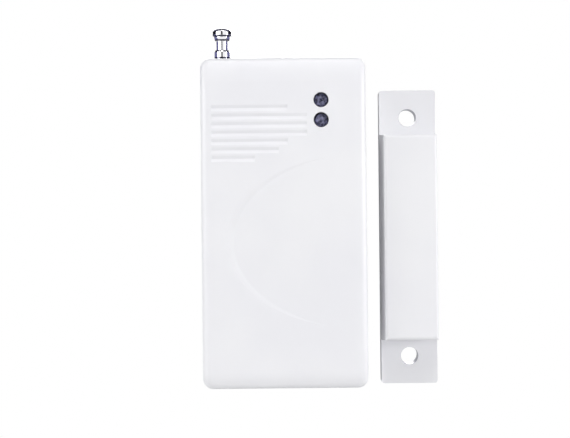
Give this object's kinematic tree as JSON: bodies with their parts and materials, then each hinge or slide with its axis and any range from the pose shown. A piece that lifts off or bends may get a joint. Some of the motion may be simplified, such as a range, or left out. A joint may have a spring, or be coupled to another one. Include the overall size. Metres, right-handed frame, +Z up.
{
  "type": "wireless magnetic door contact",
  "caption": "White wireless magnetic door contact: a transmitter with a telescopic chrome rod aerial, two small lamps and grooves in its face, beside its screw-down magnet.",
  "frame": {"origin": "centre of the transmitter's back, on the wall plane", "axes": "+X to the right seen from the front, +Z up along the aerial, and the faces look along -Y, so +Y goes into the wall"},
  "size_m": [0.0506, 0.0155, 0.0775],
  "materials": {
    "case_plastic": "satin",
    "board_green": "satin",
    "screw_steel": "satin",
    "battery_wrap": "gloss",
    "contact_steel": "satin",
    "contact_brass": "satin",
    "clear_glass": "gloss",
    "lamp_tint": "gloss",
    "tinned_leads": "satin",
    "chip_black": "matte",
    "cap_plastic": "satin",
    "can_metal": "satin",
    "capacitor_sleeve": "gloss",
    "capacitor_tan": "matte",
    "coil_copper": "gloss",
    "aerial_chrome": "mirror",
    "magnet_dark": "matte"
  },
  "bodies": {
    "root": {"front_cover": "case_plastic", "back_cover": "case_plastic", "circuit_board": "board_green", "board_screws": "screw_steel", "battery": "battery_wrap", "battery_plate_positive": "contact_steel", "battery_plate_negative": "contact_steel", "battery_spring": "contact_steel", "reed_switch_glass": "clear_glass", "reed_switch_reeds": "contact_steel", "upper_lamp_lens": "lamp_tint", "upper_lamp_leads": "tinned_leads", "lower_lamp_lens": "lamp_tint", "lower_lamp_leads": "tinned_leads", "coding_chip": "chip_black", "coding_chip_legs": "tinned_leads", "code_pin_base": "chip_black", "code_pins": "contact_brass", "code_jumper_caps": "cap_plastic", "resonator_can": "can_metal", "transistor": "chip_black", "transistor_legs": "tinned_leads", "electrolytic_capacitor": "capacitor_sleeve", "aerial_coil": "coil_copper", "chip_resistors": "chip_black", "chip_capacitors": "capacitor_tan", "aerial_base_tube": "aerial_chrome", "aerial_bracket": "contact_brass"},
    "aerial_middle": {"aerial_middle_tube": "aerial_chrome", "aerial_middle_grip": "contact_brass"},
    "aerial_tip": {"aerial_tip_rod": "aerial_chrome", "aerial_tip_grip": "contact_brass", "aerial_knob": "aerial_chrome"},
    "magnet": {"magnet_housing": "case_plastic", "bar_magnet": "magnet_dark", "magnet_back_plate": "case_plastic"}
  },
  "joints": [
    {"name": "aerial_middle_slide", "type": "slide", "parent": "root", "child": "aerial_middle", "axis": [0, 0, 1], "range_m": [0, 0.0435]},
    {"name": "aerial_tip_slide", "type": "slide", "parent": "aerial_middle", "child": "aerial_tip", "axis": [0, 0, 1], "range_m": [0, 0.045]},
    {"name": "magnet_slide", "type": "slide", "parent": "root", "child": "magnet", "axis": [1, 0, 0], "range_m": [0, 0.05]}
  ]
}
